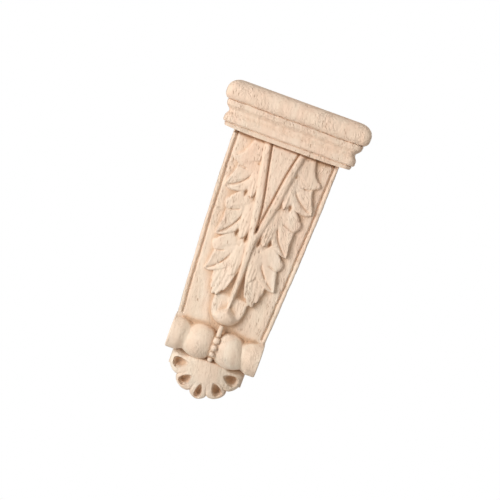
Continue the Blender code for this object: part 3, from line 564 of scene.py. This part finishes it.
def beads():
    """The rod, and each bead centred on a circle about the bolster's axis."""
    string = [ball("rod", (0, ROD_DEEP, ROD_Z), ROD_RADIUS, ROD_STRETCH)]
    for number, (z, radius) in enumerate(BEADS, start=1):
        forward = np.sqrt(BEAD_LINE_RADIUS**2 - (z - BOLSTER_Z) ** 2)
        string.append(ball(f"bead_{number}", (0, BOLSTER_DEEP + forward, z), radius))
    return string


# One piece of wood. The forms run into each other, so they are united into a single skin, and the saw cut
# takes the back off flat in the plane of the wall.
WASTE_THICK, CREASE_ANGLE = 4.0, np.radians(50)


def saw_cut():
    """A slab from the wall's plane backwards, wider and taller than the block."""
    wide = 2 * HALF_WIDTH_TOP
    corners = np.array([(-wide, -WASTE_THICK), (wide, -WASTE_THICK), (wide, 0.0), (-wide, 0.0)])
    rings = [np.column_stack([corners, np.full(4, z)]) for z in (2 * LOW[2], 2 * HIGH[2])]
    return tube_mesh("saw_cut", np.array(rings)[:, ::-1])


def unite(body, shapes, waste):
    """Joins the shapes to the body, takes the waste away, and keeps the result as the body's own mesh."""
    for shape, operation in [(shape, "UNION") for shape in shapes] + [(waste, "DIFFERENCE")]:
        cut = body.modifiers.new(shape.name, "BOOLEAN")
        cut.operation, cut.object = operation, shape
    evaluated = body.evaluated_get(bpy.context.evaluated_depsgraph_get())
    whole = bpy.data.meshes.new_from_object(evaluated)
    body.modifiers.clear()
    body.data = whole
    for shape in [*shapes, waste]:
        bpy.data.objects.remove(shape, do_unlink=True)


unite(carving, [cap(), bolster(), shell(), *beads()], saw_cut())
carving.data.shade_smooth()
carving.data.set_sharp_from_angle(angle=CREASE_ANGLE)
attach(carving, "root")
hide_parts("carved_corbel")

# The wood: bare rubberwood, cut with a knife and left unsealed, its grain running nearly along the block.
# Growth rings make faint bands, open pores short dark dashes, and painted shade darkens the recesses.
# The back is as sawn, and small cuts crowd and tear the fibres of the fluted leaves and the leaflets above.
PALE, TAN, REDDISH = (0.87, 0.775, 0.655, 1), (0.80, 0.655, 0.515, 1), (0.80, 0.56, 0.42, 1)
PORE, SHADE_BROWN = (0.50, 0.30, 0.17, 1), (0.56, 0.36, 0.205, 1)
GRAIN_LEAN = np.radians(9.0)
PITH, RING_PITCH = (-38.0, 46.0, 0.0), 4.6
PORE_STRETCH, PORE_RADIUS, PORE_PIT = (2.0, 2.0, 0.28), 0.27, -0.14
STROKE_LEAN, FINE_BELOW, FINE_RUN = np.radians(24.0), -34.0, 8.0
RECESS_CELL, RECESS_REACH, RECESS_FULL = 0.3, 6, 0.85
CLOSE_WORK = ((5.8, -10.5, 3.0, 5.2), (4.4, 10.0, 1.4, 4.6))
SPECULAR = 0.3


def points_and_normals(mesh):
    """Arrays of the mesh's points, in millimetres, and of its normals."""
    count = len(mesh.vertices)
    points, normals = np.empty(count * 3), np.empty(count * 3)
    mesh.vertices.foreach_get("co", points)
    mesh.vertex_normals.foreach_get("vector", normals)
    return points.reshape(-1, 3) / MM, normals.reshape(-1, 3)


def recess(points, normals):
    """How far each point lies below its surroundings, 0 to 1: the map of front depths, averaged twice over
    a square, less the point's own depth, and nothing where the surface faces sideways."""
    cell = np.round((points[:, [0, 2]] - (LOW[0], LOW[2])) / RECESS_CELL).astype(int)
    column, row = cell.T + RECESS_REACH * 2
    depths = np.zeros((column.max() + 1 + RECESS_REACH * 2, row.max() + 1 + RECESS_REACH * 2))
    np.maximum.at(depths, (column, row), -points[:, 1])
    average = depths
    for axis in (0, 1, 0, 1):
        shifted = [np.roll(average, step, axis) for step in range(-RECESS_REACH, RECESS_REACH + 1)]
        average = np.mean(shifted, axis=0)
    faces_front = np.clip(-10 * normals[:, 1] - 0.5, 0, 1)
    return np.clip((average[column, row] + points[:, 1]) / RECESS_FULL, 0, 1) * faces_front


def hand_cut(normals):
    """Share of knife work in the finish, 0 to 1: none where a point faces straight back, up or sideways."""
    flat = np.max([normals[:, 1], normals[:, 2], np.abs(normals[:, 0])], axis=0)
    return np.clip((0.98 - flat) / 0.12, 0, 1)


def close_work(points):
    """Where small cuts crowd, 0 to 1: flat-topped oval bells, given by middle, half width and half
    height."""
    share = np.zeros(len(points))
    for x, z, wide, tall in CLOSE_WORK:
        away = ((np.abs(points[:, 0]) - x) / wide) ** 2 + ((points[:, 2] - z) / tall) ** 2
        share = np.maximum(share, np.exp(-(away**2)))
    return share


def feed(tree, socket, value):
    """Links a socket to another's output, or sets it to a plain value."""
    if isinstance(value, bpy.types.NodeSocket):
        tree.links.new(value, socket)
    else:
        socket.default_value = value


def sum_of(tree, operation, *terms, clamp=False):
    """One step of arithmetic on numbers or outputs."""
    node = tree.nodes.new("ShaderNodeMath")
    node.operation, node.use_clamp = operation, clamp
    for socket, term in zip(node.inputs, terms):
        feed(tree, socket, term)
    return node.outputs[0]


def stretched(tree, place, factors):
    """The place multiplied along x, y and z."""
    node = tree.nodes.new("ShaderNodeVectorMath")
    node.operation = "MULTIPLY"
    feed(tree, node.inputs[0], place)
    node.inputs[1].default_value = factors
    return node.outputs[0]


def turned(tree, place, angle):
    """The place turned about the y axis."""
    node = tree.nodes.new("ShaderNodeVectorRotate")
    node.rotation_type = "Y_AXIS"
    feed(tree, node.inputs["Vector"], place)
    node.inputs["Angle"].default_value = angle
    return node.outputs["Vector"]


def cloud(tree, place, factors, detail):
    """Noise between 0 and 1 over the stretched place, the factors being lumps per unit of length."""
    node = tree.nodes.new("ShaderNodeTexNoise")
    feed(tree, node.inputs["Vector"], stretched(tree, place, factors))
    node.inputs["Scale"].default_value = 1.0
    node.inputs["Detail"].default_value = detail
    return node.outputs["Fac"]


def spread(tree, value, low, high, to_low=0.0, to_high=1.0):
    """A value's range low to high carried to another range, with smooth ends."""
    node = tree.nodes.new("ShaderNodeMapRange")
    node.interpolation_type = "SMOOTHSTEP"
    for socket, number in zip(node.inputs, (value, low, high, to_low, to_high)):
        feed(tree, socket, number)
    return node.outputs["Result"]


def blended(tree, share, first, second):
    """Two colours mixed by a share of the second."""
    node = tree.nodes.new("ShaderNodeMix")
    node.data_type = "RGBA"
    feed(tree, node.inputs["Factor"], share)
    colours = [socket for socket in node.inputs if socket.type == "RGBA"]
    feed(tree, colours[0], first)
    feed(tree, colours[1], second)
    return next(socket for socket in node.outputs if socket.type == "RGBA")


def new_group(name, takes, gives):
    """An empty node group with its sockets, each a name and a type."""
    tree = bpy.data.node_groups.new(name, "ShaderNodeTree")
    for direction, sockets in (("INPUT", takes), ("OUTPUT", gives)):
        for label, kind in sockets.items():
            tree.interface.new_socket(label, in_out=direction, socket_type=kind)
    return tree, tree.nodes.new("NodeGroupInput").outputs, tree.nodes.new("NodeGroupOutput").inputs


def growth_rings():
    """Soft bands: the sine of the distance from a pith behind the block, which slow noise pushes to and
    fro."""
    inputs = {"Place": "NodeSocketVector"}
    tree, takes, gives = new_group("growth_rings", inputs, {"Band": "NodeSocketFloat"})
    place = takes["Place"]
    from_pith = tree.nodes.new("ShaderNodeVectorMath")
    from_pith.operation = "DISTANCE"
    feed(tree, from_pith.inputs[0], stretched(tree, place, (1.0, 1.0, 0.02)))
    from_pith.inputs[1].default_value = PITH
    push = sum_of(tree, "MULTIPLY", cloud(tree, place, (0.09, 0.09, 0.016), 3.0), 14.0)
    away = sum_of(tree, "ADD", from_pith.outputs["Value"], push)
    turns = sum_of(tree, "MULTIPLY", away, 2 * np.pi / RING_PITCH)
    feed(tree, gives["Band"], spread(tree, sum_of(tree, "SINE", turns), -1.0, 1.0))
    return tree


def pores():
    """Short dashes along the grain: the middles of stretched random cells, thinned out where slow noise is
    low, and in patches the troughs of a stretched noise, where the knife has torn the fibres."""
    inputs = {"Place": "NodeSocketVector", "Cut": "NodeSocketFloat", "Close": "NodeSocketFloat"}
    tree, takes, gives = new_group("pores", inputs, {"Pore": "NodeSocketFloat"})
    place, close = takes["Place"], takes["Close"]
    cells = tree.nodes.new("ShaderNodeTexVoronoi")
    feed(tree, cells.inputs["Vector"], stretched(tree, place, PORE_STRETCH))
    cells.inputs["Scale"].default_value = 1.0
    dash = spread(tree, cells.outputs["Distance"], PORE_RADIUS, 0.4 * PORE_RADIUS)
    lot = tree.nodes.new("ShaderNodeSeparateColor")
    feed(tree, lot.inputs["Color"], cells.outputs["Color"])
    crowd = spread(tree, cloud(tree, place, (0.14, 0.14, 0.06), 2.0), 0.4, 0.62, 0.9, 0.15)
    crowd = sum_of(tree, "MULTIPLY_ADD", close, -0.55, crowd)
    kept = sum_of(tree, "GREATER_THAN", lot.outputs["Red"], crowd)
    depth = sum_of(tree, "MULTIPLY_ADD", lot.outputs["Green"], 0.6, 0.4)
    lone = sum_of(tree, "MULTIPLY", sum_of(tree, "MULTIPLY", dash, kept), depth)
    deepest = spread(tree, cloud(tree, place, (0.16, 0.16, 0.12), 2.0), 0.48, 0.64, 0.24, 0.4)
    deepest = sum_of(tree, "MULTIPLY_ADD", close, 0.1, deepest)
    fibre = cloud(tree, place, (2.8, 2.8, 0.5), 2.0)
    torn = sum_of(tree, "MULTIPLY", sum_of(tree, "SUBTRACT", deepest, fibre), 12.0, clamp=True)
    torn = sum_of(tree, "MULTIPLY", torn, takes["Cut"])
    feed(tree, gives["Pore"], sum_of(tree, "MAXIMUM", lone, torn))
    return tree


def knife_work():
    """Height in millimetres: fibres all over; where the knife went also slow unevenness, nicks and patches
    of slanting strokes; on the back the saw's ripples; and the pits of the pores."""
    inputs = {"Place": "NodeSocketVector"}
    inputs.update({name: "NodeSocketFloat" for name in ("Pore", "Sawn", "Cut")})
    tree, takes, gives = new_group("knife_work", inputs, {"Height": "NodeSocketFloat"})
    place = takes["Place"]
    fibre = sum_of(tree, "MULTIPLY", cloud(tree, place, (3.6, 3.6, 0.3), 3.0), 0.08)
    facet = sum_of(tree, "MULTIPLY", cloud(tree, place, (0.55, 0.55, 0.3), 2.0), 0.36)
    nick = sum_of(tree, "MULTIPLY", cloud(tree, place, (1.5, 1.5, 0.9), 2.0), 0.17)
    wander = tree.nodes.new("ShaderNodeVectorMath")
    feed(tree, wander.inputs[0], turned(tree, place, STROKE_LEAN))
    feed(tree, wander.inputs[1], sum_of(tree, "MULTIPLY", cloud(tree, place, (0.16, 0.16, 0.16), 1.0), 8.0))
    stroke = spread(tree, cloud(tree, wander.outputs[0], (1.7, 1.7, 0.22), 1.0), 0.42, 0.62)
    struck = spread(tree, cloud(tree, place, (0.12, 0.12, 0.09), 1.0), 0.46, 0.6, 0.0, 0.12)
    by_knife = sum_of(tree, "ADD", facet, sum_of(tree, "MULTIPLY_ADD", stroke, struck, nick))
    axes = tree.nodes.new("ShaderNodeSeparateXYZ")
    feed(tree, axes.inputs["Vector"], place)
    drift = sum_of(tree, "MULTIPLY", cloud(tree, place, (0.05, 0.05, 0.6), 2.0), 5.0)
    ripple = sum_of(tree, "SINE", sum_of(tree, "MULTIPLY_ADD", axes.outputs["Z"], 4.0, drift))
    by_saw = sum_of(tree, "MULTIPLY", ripple, 0.05)
    height = sum_of(tree, "MULTIPLY_ADD", by_knife, takes["Cut"], fibre)
    height = sum_of(tree, "MULTIPLY_ADD", by_saw, takes["Sawn"], height)
    feed(tree, gives["Height"], sum_of(tree, "MULTIPLY_ADD", takes["Pore"], PORE_PIT, height))
    return tree


def used(tree, group, **given):
    """A group's node in a material, fed by name."""
    node = tree.nodes.new("ShaderNodeGroup")
    node.node_tree = group
    for name, value in given.items():
        feed(tree, node.inputs[name], value)
    return node.outputs


def measured(tree, name):
    """A value that the mesh's points carry."""
    node = tree.nodes.new("ShaderNodeAttribute")
    node.attribute_name = name
    return node.outputs["Fac"]


points, normals = points_and_normals(carving.data)
surface = {
    "recess": recess(points, normals),
    "hand_cut": hand_cut(normals),
    "close_work": close_work(points),
}
for name, values in surface.items():
    carving.data.attributes.new(name, "FLOAT", "POINT").data.foreach_set("value", values)

wood = bpy.data.materials.new("pale_wood")
wood.use_nodes = True
tree = wood.node_tree
block = tree.nodes.new("ShaderNodeTexCoord").outputs["Object"]
grain = turned(tree, stretched(tree, block, (1 / MM, 1 / MM, 1 / MM)), GRAIN_LEAN)
band = used(tree, growth_rings(), Place=grain)["Band"]
cut = measured(tree, "hand_cut")
low = measured(tree, "recess")
axes = tree.nodes.new("ShaderNodeSeparateXYZ")
feed(tree, axes.inputs["Vector"], block)
sawn = sum_of(tree, "GREATER_THAN", axes.outputs["Y"], -0.05 * MM)
pore = used(tree, pores(), Place=grain, Cut=cut, Close=measured(tree, "close_work"))["Pore"]
finer = spread(tree, axes.outputs["Z"], FINE_BELOW * MM, (FINE_BELOW + FINE_RUN) * MM, 0.35, 1.0)
pore = sum_of(tree, "MULTIPLY", pore, sum_of(tree, "MULTIPLY", finer, spread(tree, low, 0.5, 1.0, 1.0, 0.2)))
height = used(tree, knife_work(), Place=grain, Pore=pore, Sawn=sawn, Cut=cut)["Height"]

figure = cloud(tree, grain, (0.11, 0.11, 0.02), 3.0)
colour = blended(tree, spread(tree, figure, 0.32, 0.68), TAN, PALE)
up = spread(tree, axes.outputs["Z"], LOW[2] * MM, TOP * MM, -0.1, 0.62)
blush = spread(tree, cloud(tree, grain, (0.09, 0.09, 0.06), 1.0), 0.5, 0.7, 0.0, 0.4)
colour = blended(tree, sum_of(tree, "ADD", blush, up, clamp=True), colour, REDDISH)
streak = spread(tree, cloud(tree, grain, (2.4, 2.4, 0.12), 3.0), 0.3, 0.7, 0.0, 0.5)
colour = blended(tree, streak, colour, TAN)
mottle = spread(tree, cloud(tree, grain, (0.42, 0.42, 0.2), 3.0), 0.4, 0.68, 0.0, 0.55)
colour = blended(tree, mottle, colour, TAN)
ringed = sum_of(tree, "MULTIPLY", band, spread(tree, cut, 0.0, 1.0, 0.6, 0.3))
colour = blended(tree, ringed, colour, REDDISH)
colour = blended(tree, sum_of(tree, "MULTIPLY", pore, 0.8), colour, PORE)
# Painted shade: by how far a point lies below its surroundings, the recesses are tinted reddish and then
# darkened towards brown.
colour = blended(tree, sum_of(tree, "MULTIPLY", low, 0.5), colour, REDDISH)
painted_shade = sum_of(tree, "MULTIPLY", spread(tree, low, 0.15, 1.0), spread(tree, figure, 0.3, 0.7, 0.66, 0.46))
colour = blended(tree, painted_shade, colour, SHADE_BROWN)

shader = tree.nodes["Principled BSDF"]
feed(tree, shader.inputs["Base Color"], colour)
rough = sum_of(tree, "MULTIPLY_ADD", streak, 0.3, 0.52)
feed(tree, shader.inputs["Roughness"], sum_of(tree, "MULTIPLY_ADD", sawn, 0.2, rough))
shader.inputs["Specular IOR Level"].default_value = SPECULAR
bump = tree.nodes.new("ShaderNodeBump")
bump.inputs["Distance"].default_value = MM
feed(tree, bump.inputs["Height"], height)
feed(tree, shader.inputs["Normal"], bump.outputs["Normal"])
carving.data.materials.clear()
carving.data.materials.append(wood)

# The stage: a pale floor well below, a white surround, soft lamps with the strongest on the left, and a
# long lens from a little above, rolled so that the corbel leans to the right. Sizes here are in metres; a
# lamp is given by its name, the way to it from the corbel, its distance, width, power and colour.
FLOOR_HALF, FLOOR_Z = 2.0, -0.6
WHITE = (1, 1, 1, 1)
FILL_COLOUR, FILL_STRENGTH = (1.0, 0.94, 0.86, 1), 0.36
AIM = Vector((0.00012, -0.008, 0.0015))
LAMPS = (
    ("key", Vector((-0.72, -0.69, 0.14)), 0.42, 0.28, 1.57, (1.0, 1.0, 1.0)),
    ("top_light", Vector((0.25, -0.35, 1.0)), 0.8, 0.5, 1.3, (0.93, 0.97, 1.0)),
    ("low_light", Vector((-0.2, -0.7, -0.75)), 0.8, 0.5, 1.1, (1.0, 1.0, 1.0)),
    ("back_light", Vector((0.35, 0.95, 0.15)), 0.8, 0.5, 2.2, (1.0, 1.0, 1.0)),
)
LENS, AWAY = 85.0, 0.4055
PITCH, ROLL = np.radians(7.0), np.radians(20.0)

corners = [(x * FLOOR_HALF, y * FLOOR_HALF, FLOOR_Z) for x, y in ((-1, -1), (1, -1), (1, 1), (-1, 1))]
floor_mesh = bpy.data.meshes.new("floor")
floor_mesh.from_pydata(corners, [], [(0, 1, 2, 3)])
floor = bpy.data.objects.new("floor", floor_mesh)
bpy.context.scene.collection.objects.link(floor)
paper = bpy.data.materials.new("pale_paper")
paper.use_nodes = True
tree = paper.node_tree
tree.nodes["Principled BSDF"].inputs["Base Color"].default_value = WHITE
glow = tree.nodes.new("ShaderNodeEmission")
seen = tree.nodes.new("ShaderNodeLightPath")
choice = tree.nodes.new("ShaderNodeMixShader")
feed(tree, choice.inputs["Fac"], seen.outputs["Is Camera Ray"])
feed(tree, choice.inputs[1], tree.nodes["Principled BSDF"].outputs["BSDF"])
feed(tree, choice.inputs[2], glow.outputs["Emission"])
feed(tree, tree.nodes["Material Output"].inputs["Surface"], choice.outputs["Shader"])
floor.data.materials.append(paper)

world = bpy.data.worlds.new("white_surround")
bpy.context.scene.world = world
world.use_nodes = True
tree = world.node_tree
backdrop = tree.nodes["Background"]
backdrop.inputs["Color"].default_value = WHITE
fill = tree.nodes.new("ShaderNodeBackground")
fill.inputs["Color"].default_value = FILL_COLOUR
fill.inputs["Strength"].default_value = FILL_STRENGTH
seen = tree.nodes.new("ShaderNodeLightPath")
choice = tree.nodes.new("ShaderNodeMixShader")
feed(tree, choice.inputs["Fac"], seen.outputs["Is Camera Ray"])
feed(tree, choice.inputs[1], fill.outputs["Background"])
feed(tree, choice.inputs[2], backdrop.outputs["Background"])
feed(tree, tree.nodes["World Output"].inputs["Surface"], choice.outputs["Shader"])

for name, way, away, size, energy, colour in LAMPS:
    lamp_data = bpy.data.lights.new(name, "AREA")
    lamp_data.shape, lamp_data.size, lamp_data.energy, lamp_data.color = "DISK", size, energy, colour
    lamp = bpy.data.objects.new(name, lamp_data)
    lamp.location = AIM + way.normalized() * away
    lamp.rotation_euler = (-way).to_track_quat("-Z", "Y").to_euler()
    bpy.context.scene.collection.objects.link(lamp)

camera_data = bpy.data.cameras.new("camera")
camera_data.lens = LENS
camera = bpy.data.objects.new("camera", camera_data)
towards = Vector((0, np.cos(PITCH), -np.sin(PITCH)))
level_view = towards.to_track_quat("-Z", "Y").to_matrix()
camera.location = AIM - towards * AWAY
camera.rotation_euler = (level_view @ Matrix.Rotation(ROLL, 3, "Z")).to_euler()
bpy.context.scene.collection.objects.link(camera)
bpy.context.scene.camera = camera
bpy.context.scene.view_settings.view_transform = "Standard"
